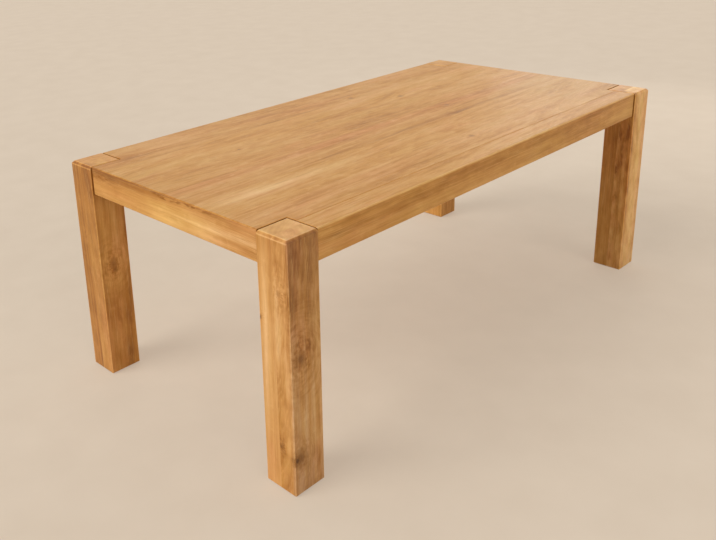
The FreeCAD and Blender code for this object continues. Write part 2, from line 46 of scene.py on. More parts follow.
class Finish:
    """A value, vector or colour that changes over a finished surface: one node socket of its material.
    Arithmetic between values adds Math nodes to that material."""

    def __init__(self, material, socket):
        self.material = material
        self.socket = socket

    def node(self, kind, settings, sockets, output=0):
        """Add a node of this type: its settings first, a ramp's stops among them, and then each socket's
        number, colour or link. The result is the output that is named or counted."""
        tree = self.material.node_tree
        made = tree.nodes.new(kind)
        for setting, value in settings.items():
            if setting == "stops":
                ramp = made.color_ramp.elements
                while len(ramp) < len(value):
                    ramp.new(0.5)
                for stop, (position, colour) in zip(ramp, value):
                    stop.position = position
                    stop.color = (*colour, 1)
            else:
                setattr(made, setting, value)
        for socket, value in sockets.items():
            if isinstance(value, Finish):
                tree.links.new(value.socket, made.inputs[socket])
            else:
                made.inputs[socket].default_value = value
        return Finish(self.material, made.outputs[output])

    def math(self, operation, first, second=0.0):
        """The result of one Math node on two values."""
        return self.node("ShaderNodeMath", {"operation": operation}, {0: first, 1: second})

    def __add__(self, other):
        return self.math("ADD", self, other)

    def __radd__(self, other):
        return self.math("ADD", other, self)

    def __sub__(self, other):
        return self.math("SUBTRACT", self, other)

    def __rsub__(self, other):
        return self.math("SUBTRACT", other, self)

    def __mul__(self, other):
        return self.math("MULTIPLY", self, other)

    def __rmul__(self, other):
        return self.math("MULTIPLY", other, self)

    def __truediv__(self, other):
        return self.math("DIVIDE", self, other)

    def __rtruediv__(self, other):
        return self.math("DIVIDE", other, self)

    def __abs__(self):
        return self.math("ABSOLUTE", self)

    def lower(self, other):
        """The lower of two values."""
        return self.math("MINIMUM", self, other)

    def higher(self, other):
        """The higher of two values."""
        return self.math("MAXIMUM", self, other)

    def reach(self, other):
        """The length of the line to a point that lies this far one way and that far the other."""
        return self.math("SQRT", self * self + other * other)

    def bell(self):
        """1 where the value is 0, and e to the power of minus its square elsewhere."""
        return self.math("POWER", math.e, self * self * -1)

    def between(self, start, end):
        """0 up to the start, 1 from the end, and a smooth step from one to the other."""
        return self.node("ShaderNodeMapRange", {"interpolation_type": "SMOOTHSTEP"},
                         {0: self, 1: start, 2: end, 3: 0.0, 4: 1.0})

    def parts(self):
        """The x, y and z of a vector."""
        return [self.node("ShaderNodeSeparateXYZ", {}, {0: self}, place) for place in range(3)]

    def run(self, scale, detail=1.0):
        """Noise along one value, from -0.5 to 0.5."""
        return self.node("ShaderNodeTexNoise", {"noise_dimensions": "1D"},
                         {"W": self, "Scale": scale, "Detail": detail}) - 0.5

    def cloud(self, other, third, scales, detail=1.0):
        """Noise in a box of three values, each with its own scale, from -0.5 to 0.5."""
        spread = [value * scale for value, scale in zip((self, other, third), scales)]
        spot = self.node("ShaderNodeCombineXYZ", {}, dict(enumerate(spread)))
        return self.node("ShaderNodeTexNoise", {"noise_dimensions": "3D"},
                         {"Vector": spot, "Scale": 1.0, "Detail": detail}) - 0.5

    def ramp(self, stops):
        """The colour at this value, on a ramp of stops from 0 to 1."""
        return self.node("ShaderNodeValToRGB", {"stops": stops}, {0: self})

    def tint(self, colour, amount):
        """This colour, turned towards another by an amount from 0 to 1."""
        return self.node("ShaderNodeMix", {"data_type": "RGBA"}, {0: amount, 6: self, 7: (*colour, 1)}, 2)

    def wash(self, ratios, amount):
        """This colour, its red, green and blue multiplied by these ratios to an amount from 0 to 1."""
        settings = {"data_type": "RGBA", "blend_type": "MULTIPLY"}
        return self.node("ShaderNodeMix", settings, {0: amount, 6: self, 7: (*ratios, 1)}, 2)


def surface(name):
    """A new material without nodes, as the Finish of the piece's own Object coordinates in metres."""
    material = bpy.data.materials.new(name)
    material.use_nodes = True
    material.node_tree.nodes.clear()
    return Finish(material, None).node("ShaderNodeTexCoord", {}, {}, "Object")


def shaded(colour, roughness, relief, depth, **constants):
    """A Principled shader with this colour, roughness and relief, the relief's depth in metres."""
    normal = colour.node("ShaderNodeBump", {}, {"Strength": 1.0, "Distance": depth, "Height": relief})
    sockets = {"Base Color": colour, "Roughness": roughness, "Normal": normal}
    return colour.node("ShaderNodeBsdfPrincipled", {}, {**sockets, **constants})


def finished(shader):
    """The material whose surface is this shader."""
    output = shader.material.node_tree.nodes.new("ShaderNodeOutputMaterial")
    shader.material.node_tree.links.new(shader.socket, output.inputs["Surface"])
    return shader.material


def give(node, material):
    """Put one material on a CAD node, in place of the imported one."""
    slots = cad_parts[node].data.materials
    slots.clear()
    slots.append(material)


AXES = "xyz"

# Colours: the oiled wood from its darkest tone to its palest, then knots, pores, pale grain, and the brown
# painted as shade in the sawn gaps and as bark.
HONEY = (
    (0.00, (0.285, 0.099, 0.014)),
    (0.20, (0.465, 0.191, 0.034)),
    (0.40, (0.612, 0.286, 0.067)),
    (0.60, (0.706, 0.367, 0.102)),
    (0.80, (0.798, 0.460, 0.154)),
    (1.00, (0.880, 0.555, 0.215)),
)
KNOT_BROWN = (0.110, 0.036, 0.006)
KNOT_HALO = (0.270, 0.105, 0.018)
PORE_BROWN = (0.390, 0.130, 0.008)
GRAIN_PALE = (0.790, 0.470, 0.170)
SHADE_AND_BARK_BROWN = (0.200, 0.056, 0.003)

# Washes: ratios by which the wood's own red, green and blue are multiplied.
BLUSH = (1.06, 0.965, 1.22)
STRAW = (0.965, 1.02, 0.85)
TAN = (1.06, 1.17, 1.95)
# The next wash is painted shade, duller and bluer, for a side of a post that stands in shade.
PAINTED_SHADE_TINT = (0.85, 0.96, 1.72)
SAPWOOD = (1.29, 1.50, 1.85)
AMBER = (1.02, 0.95, 0.86)
# The next wash is a painted sheen, greying the far right end of the top.
SHEEN_GREY = (0.90, 0.97, 0.98)
BRIGHT = (0.97, 1.00, 1.12)
DEEP = (1.06, 1.00, 0.50)


def blot(places, centre, reach):
    """1 at the centre, and a bell curve of the distance from it, counted in reaches along each axis."""
    x, y, z = ((places[letter] - middle) / half for letter, middle, half in zip(AXES, centre, reach))
    return x.reach(y).reach(z).bell()


def oak(name, grain, seed, heart, lean=(0.0, 0.0), pale=0.5, wild=0.6, knots=(), patches=(), stains_and_painted_light=(),
        wear_and_highlight=None, dark=None, calm=None, rich=0.0):
    """Oiled oak, cut from a trunk whose rings are cylinders round its heart.
    grain: letters of the axes along, across and through the piece.
    heart: the trunk's middle, across and through. lean: how far it moves both ways in each metre of length.
    pale: the wood's middle tone. wild: how much its grain wanders and clouds.
    knots: the branch's axis, its place, its radius, how dark it is and how far the grain curls round it.
    patches: place, reach and change of tone, some of it painted shade. stains_and_painted_light: place,
    reach, ratios of colour and amount, among them a painted shade tint and a painted sheen.
    wear_and_highlight: gives the change of tone on the arrises, rubbed and painted with highlights. dark:
    gives 1 where shade is painted in gaps, and on bark, and 0 on the planed wood.
    calm: gives 1 on end grain, where the lines of the grain do not show.
    rich: how much yellower the dark streaks are than the pale ones."""
    places = dict(zip(AXES, surface(name).parts()))
    along, across, through = (places[letter] for letter in grain)
    start = along + seed
    ragged = start.cloud(across, through, (60, 120, 120), 2)
    bent = dict(places)
    eyes = []
    for branch, centre, radius, depth, sweep in knots:
        offset = {letter: places[letter] - middle for letter, middle in zip(AXES, centre)}
        wide = next(letter for letter in AXES if letter not in (branch, grain[0]))
        spread = (offset[grain[0]] * 0.8).reach(offset[wide]) + 0.0005
        distance = spread + ragged * radius * 0.9
        near = (offset[branch] / 0.010).bell()
        parting = (distance / (radius * 3)).bell() * near * 0.85
        bent[wide] = bent[wide] - offset[wide] * parting
        curl = (offset[wide] / spread).cloud(offset[grain[0]] / spread, spread, (2.4, 2.4, 120), 2)
        eyes.append((distance, near, radius, depth, curl * (spread / sweep).bell() * near))

    side = bent[grain[1]] - heart[0] - along * lean[0] + start.run(1.1) * 0.035 + start.run(4) * 0.012
    deep = bent[grain[2]] - heart[1] - along * lean[1] + (start + 9.7).run(0.9) * 0.035
    knurl = start.cloud(across, through, (15, 36, 36), 3) * wild
    ring = side.reach(deep) + start.cloud(across, through, (2.2, 13, 13), 2) * 0.016 + knurl * 0.012
    wander = (ring + seed).run(60) * 0.9 + start.cloud(across, through, (4, 50, 50)) * 0.8
    year = ring.math("FRACT", ring * 210 + wander)
    late = year.between(0.20, 0.60) * (1 - year.between(0.88, 1.0))
    arc = side.math("ARCTAN2", side, deep) * 0.12
    rays = start.cloud(ring, arc, (42, 14, 260)).between(0.10, 0.20)
    pores = start.cloud(across, through, (40, 1300, 1300)).between(0.05, 0.20) * (1.1 - late)
    fibre = start.cloud(across, through, (10, 230, 230), 2)
    lines = start.cloud(across, through, (4, 120, 120), 2)
    streak = start.cloud(across, through, (1.6, 45, 45), 2)
    figure = start.cloud(across, through, (5, 32, 32), 3)
    drift = (start + 5.1).cloud(across, through, (1.8, 12, 12), 2)
    bands = (ring + seed).run(36) * 0.34 + (ring + seed).run(125, 2) * 0.28
    tone = bands + knurl * 0.90 + figure * 0.45 + streak * 0.40 + drift * 0.66 + rays * 0.06 + pale
    uneven = streak * 2 + 1
    for centre, reach, change in patches:
        tone = tone + blot(places, centre, reach) * uneven * change
    for distance, near, radius, depth, curl in eyes:
        tone = tone + curl - (distance / (radius * 2)).bell() * near * depth * 0.28
    if wear_and_highlight is not None:
        tone = tone + wear_and_highlight(places, ragged)

    colour = (tone * 0.8).ramp(HONEY)
    colour = colour.wash(BRIGHT, rich)
    colour = colour.wash(DEEP, (pale - tone).between(-0.25, 0.25) * rich)
    flecked = (start + 1.4).cloud(across, through, (14, 40, 40)) * wild * 0.5
    hue = (start + 3.3).cloud(across, through, (3, 12, 12), 2) + flecked
    colour = colour.wash(BLUSH, hue.between(0.0, 0.25) * 0.5)
    colour = colour.wash(STRAW, (hue * -1).between(0.0, 0.25) * 0.5)
    for centre, reach, wash_ratios, amount in stains_and_painted_light:
        colour = colour.wash(wash_ratios, blot(places, centre, reach) * uneven * amount)

    fine = figure * 0.5 + lines * 0.45 + fibre * 0.7 + (late - 0.5) * 0.16
    if calm is not None:
        still = 1 - calm(places) * 0.75
        fine = fine * still
        pores = pores * still
    etch = wild * 0.10 + 0.42
    colour = colour.tint(PORE_BROWN, fine.between(0.0, 0.40) * etch)
    colour = colour.tint(GRAIN_PALE, (fine * -1).between(0.0, 0.40) * etch)
    colour = colour.tint(PORE_BROWN, pores * 0.30)
    roughness = 0.40 + pores * 0.12 + fibre * 0.16 - rays * 0.06
    for distance, near, radius, depth, curl in eyes:
        rind = ((distance - radius * 1.3) / (radius * 0.2)).bell() * 0.25
        disc = (1 - distance.between(radius * 0.8, radius * 1.6)) * (figure + lines * 2 + curl * 2 + 0.60)
        core = (1 - distance.between(radius * 0.3, radius * 0.9)) * near
        colour = colour.tint(KNOT_HALO, ((disc + rind) * near * depth).higher(0.0))
        colour = colour.tint(KNOT_BROWN, core * max(0.0, depth * 1.6 - 0.6))
        roughness = roughness - core * 0.06
    # Painted shade: the faces in the gaps round the posts are tinted dark brown, and so is the bark.
    if dark is not None:
        gap = dark(places, ragged)
        colour = colour.tint(SHADE_AND_BARK_BROWN, gap * 0.80)
        roughness = roughness + gap * 0.4
    relief = fibre * 0.5 + late * 0.2 - pores * 0.7
    relief_depth = wild * 0.00025 + 0.00003
    return finished(shaded(colour, roughness, relief, relief_depth, **{"Specular IOR Level": 0.27}))


# Distances of the top's rim and of its notches from the middle of the table, and its level over the floor.
RIM_X, RIM_Y = 0.995, 0.495
NOTCH_X, NOTCH_Y = 0.885, 0.385
TOP_LEVEL = 0.75


def notch(places, ragged):
    """1 on the sawn faces that look into the gap round a post, where shade is painted."""
    past_x = abs(places["x"]) - (NOTCH_X - 0.0007)
    past_y = abs(places["y"]) - (NOTCH_Y - 0.0007)
    return past_x.lower(past_y).between(0.0, 0.0005)


def rim(places, ragged):
    """The bevel round the table's rim: rubbed and painted with a pale highlight along the sides, and dark end
    grain at the ends.
    """
    end = RIM_X - abs(places["x"])
    edge = RIM_Y - abs(places["y"])
    bevel = 1 - end.lower(edge).higher(TOP_LEVEL - places["z"]).between(0.0035, 0.0060)
    return bevel * ((end - edge).between(-0.01, 0.01) * 0.60 - 0.20 + ragged * 0.3)


# The far right end of the top is washed greyer here, a painted sheen.
FAR_END_SHEEN = ((0.88, -0.20, 0.75), (0.26, 0.26, 0.1), SHEEN_GREY, 0.8)
TOP_BOARDS = (
    {"heart": (-0.53, 0.50), "lean": (0.010, 0.04), "pale": 0.52,
     "patches": (((0.15, -0.46, 0.75), (0.28, 0.05, 0.1), 0.14),
                 ((0.55, -0.46, 0.75), (0.20, 0.05, 0.1), -0.08)),
     "stains_and_painted_light": (FAR_END_SHEEN,)},
    {"heart": (-0.41, 0.50), "lean": (0.010, 0.05), "pale": 0.48,
     "knots": (("z", (0.027, -0.337, 0.75), 0.007, 0.52, 0.03),),
     "patches": (((0.12, -0.36, 0.75), (0.40, 0.07, 0.1), 0.16),
                 ((-0.50, -0.36, 0.75), (0.16, 0.05, 0.1), 0.16)),
     "stains_and_painted_light": (((-0.5, -0.35, 0.75), (0.6, 0.04, 0.1), BLUSH, 0.4), FAR_END_SHEEN)},
    {"heart": (-0.26, 0.48), "lean": (-0.012, 0.05), "pale": 0.55,
     "patches": (((-0.82, -0.186, 0.75), (0.12, 0.032, 0.1), 0.28),
                 ((-0.56, -0.190, 0.75), (0.26, 0.026, 0.1), 0.20),
                 ((-0.12, -0.221, 0.75), (0.16, 0.012, 0.1), -0.14)),
     "stains_and_painted_light": (FAR_END_SHEEN,)},
    {"heart": (-0.30, 0.60), "lean": (0.012, 0.03), "pale": 0.48,
     "knots": (("z", (0.313, -0.033, 0.75), 0.006, 0.52, 0.03),),
     "patches": (((-0.42, -0.121, 0.75), (0.14, 0.007, 0.1), -0.26),
                 ((0.12, -0.119, 0.75), (0.22, 0.007, 0.1), -0.26),
                 ((-0.20, -0.010, 0.75), (0.75, 0.024, 0.1), -0.10)),
     "stains_and_painted_light": (((0.0, -0.02, 0.75), (1.1, 0.03, 0.1), BLUSH, 0.8), FAR_END_SHEEN)},
    {"heart": (0.16, 0.48), "lean": (0.010, 0.05), "pale": 0.51,
     "knots": (("z", (-0.573, 0.160, 0.75), 0.004, 0.60, 0.02),)},
    {"heart": (0.17, 0.50), "lean": (-0.006, 0.04), "pale": 0.57,
     "knots": (("z", (0.320, 0.193, 0.75), 0.009, 0.58, 0.04),)},
    {"heart": (0.46, 0.50), "lean": (-0.008, 0.05), "pale": 0.47,
     "knots": (("z", (0.173, 0.329, 0.75), 0.007, 0.52, 0.03),),
     "patches": (((-0.88, 0.41, 0.75), (0.12, 0.10, 0.1), -0.14),),
     "stains_and_painted_light": (((-0.5, 0.40, 0.75), (0.7, 0.05, 0.1), BLUSH, 0.3),)},
)
for number, cut in enumerate(TOP_BOARDS, start=1):
    wood = oak(f"oiled_oak_board_{number}", "xyz", number * 3.7, wild=0.5, rich=0.75, wear_and_highlight=rim, dark=notch,
               **cut)
    give(f"top_board_{number}", wood)


# Battens
# Two planed beech battens across the underside keep the top flat. Their wide holes let the boards swell.
# Zinc-plated screws with a cross recess hold them, one in each wide board.


def beech(name, grain):
    """Planed beech: pale pinkish wood with short brown flecks that lie along the grain."""
    places = dict(zip(AXES, surface(name).parts()))
    along, across, through = (places[letter] for letter in grain)
    flecks = along.cloud(across, through, (260, 1100, 1100)).between(0.12, 0.24)
    waves = along.cloud(across, through, (4, 55, 55), 3)
    stops = ((0.2, (0.47, 0.27, 0.135)), (0.5, (0.56, 0.345, 0.185)), (0.8, (0.64, 0.42, 0.24)))
    colour = (waves + 0.5).ramp(stops).tint((0.32, 0.16, 0.07), flecks * 0.45)
    return finished(shaded(colour, waves * 0.1 + 0.62, waves - flecks * 0.4, 0.0003))


def zinc_steel(name):
    """Zinc-plated steel: bright grey with cloudy patches of dull plating and fine scratches."""
    x, y, z = surface(name).parts()
    cloudy = x.cloud(y, z, (180, 180, 180), 3)
    scratched = x.cloud(y, z, (2500, 2500, 300), 2)
    stops = ((0.2, (0.40, 0.40, 0.39)), (0.5, (0.56, 0.56, 0.55)), (0.8, (0.66, 0.665, 0.67)))
    colour = (cloudy + 0.5).ramp(stops)
    roughness = cloudy * 0.3 + scratched * 0.2 + 0.34
    return finished(shaded(colour, roughness, scratched, 0.00005, Metallic=1.0))


def turned(tips, axes, heights, radii):
    """A round grid on each axis: tip + axis × height + radius × (side × cos turn + other × sin turn).
    Heights and radii have a row for each step along the axis and a column for each step of the turn."""
    axes = np.array(axes, float)
    axes = axes / np.linalg.norm(axes, axis=1, keepdims=True)
    sides = np.cross(np.where(np.abs(axes[:, 2:]) > 0.9, (1.0, 0.0, 0.0), (0.0, 0.0, 1.0)), axes)
    others = np.cross(axes, sides)
    turn = np.linspace(0, 2 * np.pi, radii.shape[1], endpoint=False)[:, None]
    spokes = sides[:, None] * np.cos(turn) + others[:, None] * np.sin(turn)
    centres = np.array(tips)[:, None, None] + axes[:, None, None] * heights[None, :, :, None]
    return centres + spokes[:, None] * radii[None, :, :, None]


def skin(name, grids, node, hollow=False):
    """One steel piece from like grids: the columns of each join round, and its end rows are closed by flat
    faces or, on a hollow one, joined to each other. The piece rides with the table in place of its CAD
    node."""
    copies, rows, columns, _ = grids.shape
    number = np.arange(copies * rows * columns).reshape(copies, rows, columns)
    below = number if hollow else number[:, :-1]
    above = np.roll(number, -1, 1) if hollow else number[:, 1:]
    quads = np.stack((below, np.roll(below, -1, 2), np.roll(above, -1, 2), above), -1).reshape(-1, 4).tolist()
    ends = [] if hollow else np.concatenate((number[:, 0, ::-1], number[:, -1])).tolist()
    mesh = bpy.data.meshes.new(name)
    mesh.from_pydata(grids.reshape(-1, 3).tolist(), [], quads + ends)
    mesh.shade_smooth()
    mesh.set_sharp_from_angle(angle=math.radians(38))
    mesh.materials.append(zinc_steel(f"zinc_{name}"))
    piece = bpy.data.objects.new(name, mesh)
    bpy.context.scene.collection.objects.link(piece)
    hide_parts(node)
    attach(piece, "root")


def ridge(heights, turn, pitch):
    """A thread's height, 0 in the groove and 1 on the crest: it climbs by one pitch in each turn."""
    phase = (heights / pitch - turn / (2 * np.pi)) % 1
    return np.clip(1.6 - 3.2 * np.abs(phase - 0.5), 0, 1)


SCREW_PITCH = 0.0022


def wood_screw(length, radius, head_radius, head_height):
    """Heights and radii of a screw from tip to head: a thread that tapers to the tip, a plain neck, a low
    dome, and a cross recess sunk in the dome wherever one of two bars covers it."""
    turn = np.linspace(0, 2 * np.pi, 40, endpoint=False)[None]
    under = length - head_height
    steps = np.linspace(0, under, 70)[:, None]
    taper = np.clip(steps / 0.006, 0.08, 1)
    cut = 1 - np.clip((steps - under * 0.8) / 0.002, 0, 1)
    shank = radius * taper * (0.68 + 0.32 * ridge(steps, turn, SCREW_PITCH) * cut)
    dome = head_radius * np.cos(np.linspace(0, 1.55, 22))[:, None] + 0 * turn
    across = np.minimum(np.abs(dome * np.cos(turn)), np.abs(dome * np.sin(turn)))
    bars = np.clip((0.0010 - across) / 0.0004, 0, 1) * np.clip((head_radius * 0.52 - dome) / 0.0005, 0, 1)
    crown = under + head_height * (0.45 + 0.55 * (1 - (dome / head_radius) ** 2)) - 0.0015 * bars
    heights = np.concatenate((steps + 0 * turn, under + 0 * turn, crown))
    return heights, np.concatenate((shank, head_radius + 0 * turn, dome))


for side in ("left", "right"):
    give(f"batten_{side}", beech(f"planed_beech_batten_{side}", "yxz"))

BATTEN_PLACES = (-0.4, 0.4)
BATTEN_SCREW_ROWS = (-0.358, -0.2145, -0.062, 0.091, 0.243, 0.404)
BATTEN_SCREW_TIP = 0.740
batten_screw_tips = [(x, y, BATTEN_SCREW_TIP) for x in BATTEN_PLACES for y in BATTEN_SCREW_ROWS]
batten_screw_axes = [(0, 0, -1)] * len(batten_screw_tips)
steel_screw = wood_screw(length=0.033, radius=0.0025, head_radius=0.006, head_height=0.003)
batten_screws = turned(batten_screw_tips, batten_screw_axes, *steel_screw)
skin("cross_head_batten_screws", batten_screws, "batten_screws")


# Edge boards
# Four oak boards set on edge under the rim of the top, mitred to it on a beech spline.
# They end 3 mm short of the posts, and the left one keeps a little bark along its upper arris.


def waney(places, ragged):
    """Painted shade in the gaps at the posts, and scraps of bark along the upper arris of the left board."""
    y, z = places["y"], places["z"]
    scraps = y.cloud(z, z, (45, 110, 110), 2) + y.run(9) * 0.5
    level = 0.7435 - y.between(-0.08, -0.02) * (1 - y.between(0.00, 0.05)) * 0.006
    middle = y.between(-0.34, -0.10) * (1 - y.between(0.04, 0.08)) * ((z - level) / 0.0050).bell()
    back = y.between(0.22, 0.34) * ((z - 0.728) / 0.016).bell() * 0.6
    bark = scraps.between(-0.14, 0.10) * middle.higher(back) * 0.90
    return notch(places, ragged).higher(bark)


EDGE_BOARDS = {
    "front": {"grain": "xzy", "heart": (0.92, -0.40), "lean": (0.02, 0.0), "dark": notch, "pale": 0.52,
              "patches": (((0.0, -0.495, 0.745), (1.2, 0.02, 0.034), -0.17),
                          ((-0.50, -0.495, 0.735), (0.22, 0.02, 0.022), 0.07),
                          ((0.45, -0.495, 0.725), (0.24, 0.02, 0.030), -0.14))},
    "back": {"grain": "xzy", "heart": (0.50, 0.40), "lean": (-0.03, 0.0), "dark": notch},
    "left": {"grain": "yzx", "heart": (0.96, -0.90), "lean": (0.03, 0.0), "wild": 0.42, "dark": waney,
             "patches": (((-0.995, 0.30, 0.735), (0.02, 0.15, 0.022), -0.42),
                         ((-0.995, 0.10, 0.740), (0.02, 0.20, 0.014), -0.18),
                         ((-0.995, -0.17, 0.690), (0.02, 0.08, 0.020), 0.10),
                         ((-0.995, -0.30, 0.730), (0.02, 0.12, 0.020), -0.12)),
             "stains_and_painted_light": (((-0.995, -0.30, 0.70), (0.03, 0.20, 0.10), TAN, 0.42),
                        ((-0.995, 0.28, 0.735), (0.03, 0.14, 0.020), TAN, 0.30),
                        ((-0.995, 0.02, 0.676), (0.03, 0.07, 0.026), SAPWOOD, 0.9),
                        ((-0.995, -0.17, 0.684), (0.03, 0.10, 0.030), SAPWOOD, 0.8))},
    "right": {"grain": "yzx", "heart": (0.54, 0.90), "lean": (0.04, 0.0), "dark": notch},
}
for seat, (side, cut) in enumerate(EDGE_BOARDS.items()):
    give(f"apron_{side}", oak(f"oiled_oak_edge_{side}", seed=31.3 + seat * 4.1, wear_and_highlight=rim, **cut))
    give(f"spline_{side}", beech(f"planed_beech_spline_{side}", cut["grain"]))


# Corner blocks
# A beech block across each inner corner, screwed from inside to both edge boards: it stiffens the corner,
# and the post is drawn against it.

CORNERS = {"front_left": (-1, -1), "front_right": (1, -1), "back_left": (-1, 1), "back_right": (1, 1)}
FASTENER_LEVELS = (0.676, 0.708)

# Tips of a corner's screws in the long and in the short edge board, from the middle of the table.
BLOCK_SCREW_TIPS = ((0.83137, 0.485), (0.985, 0.33137))
block_screw_tips = []
block_screw_axes = []
for corner, (x_side, y_side) in CORNERS.items():
    give(f"corner_block_{corner}", beech(f"planed_beech_block_{corner}", "zxy"))
    for z in FASTENER_LEVELS:
        block_screw_tips += [(x_side * x, y_side * y, z) for x, y in BLOCK_SCREW_TIPS]
        block_screw_axes += [(0, -y_side, 0), (-x_side, 0, 0)]
block_screws = turned(block_screw_tips, block_screw_axes, *steel_screw)
skin("cross_head_block_screws", block_screws, "block_screws")


# Posts
# Each post is two thick oak staves glued face to face, with a bevelled top that stands level with the boards
# in a notch of the top. The glue line shows as a change of grain on two of its faces.

# Distances of a post's outer and inner sides from the middle of the table, and the bevels of its cap there.
OUTER_X, OUTER_Y, OUTER_BEVEL = 1.0, 0.5, 0.008
INNER_X, INNER_Y, INNER_BEVEL = 0.888, 0.388, 0.003


def post_sides(places):
    """How far a place lies inside the outer sides of its post, across x and y, and inside the inner ones."""
    x = abs(places["x"])
    y = abs(places["y"])
    return OUTER_X - x, OUTER_Y - y, x - INNER_X, y - INNER_Y


def post_arrises(places, ragged):
    """Upright arrises rubbed a little and painted with a pale highlight, a darker bevel of end grain round
    the outside of the cap with a painted pale highlight along both its borders, and the pale end grain of the
    cap."""
    outer_x, outer_y, inner_x, inner_y = post_sides(places)
    z = places["z"]
    outside = outer_x.lower(outer_y)
    inside = inner_x.lower(inner_y)
    upright_wear_and_highlight = 1 - outer_x.lower(inner_x).higher(outer_y.lower(inner_y)).between(0.0016, 0.0036)
    bevel = z.between(0.7416, 0.7430) * (1 - outside.between(0.0068, OUTER_BEVEL))
    flat = outside.between(OUTER_BEVEL, 0.0090) * inside.between(INNER_BEVEL, 0.0040)
    cap = z.between(0.7490, 0.7498) * flat
    inner_brow = ((inside - INNER_BEVEL) / 0.0015).bell() * 0.7
    brow = ((outside - OUTER_BEVEL) / 0.0018).bell().higher(inner_brow)
    lower_edge = ((z - 0.7418) / 0.0018).bell() * outer_y.between(0.001, 0.004)
    painted_edge_highlights = lower_edge + brow * z.between(0.7480, 0.7490)
    return upright_wear_and_highlight * (ragged * 0.4 + 0.30) - bevel * (ragged * 0.2 + 0.12) + painted_edge_highlights * 0.45 + cap * 0.13


def post_cap(places):
    """1 on the end grain of the cap and its bevel, which the oil has filled."""
    return places["z"].between(0.7415, 0.7425)


def post_gap_shade(places, ragged):
    """1 on the faces that look into the gap between the post and the boards, where shade is painted."""
    _, _, inner_x, inner_y = post_sides(places)
    inside = 1 - inner_x.lower(inner_y).between(0.0002, 0.0008)
    return inside * places["z"].between(0.650, 0.660) * 0.70


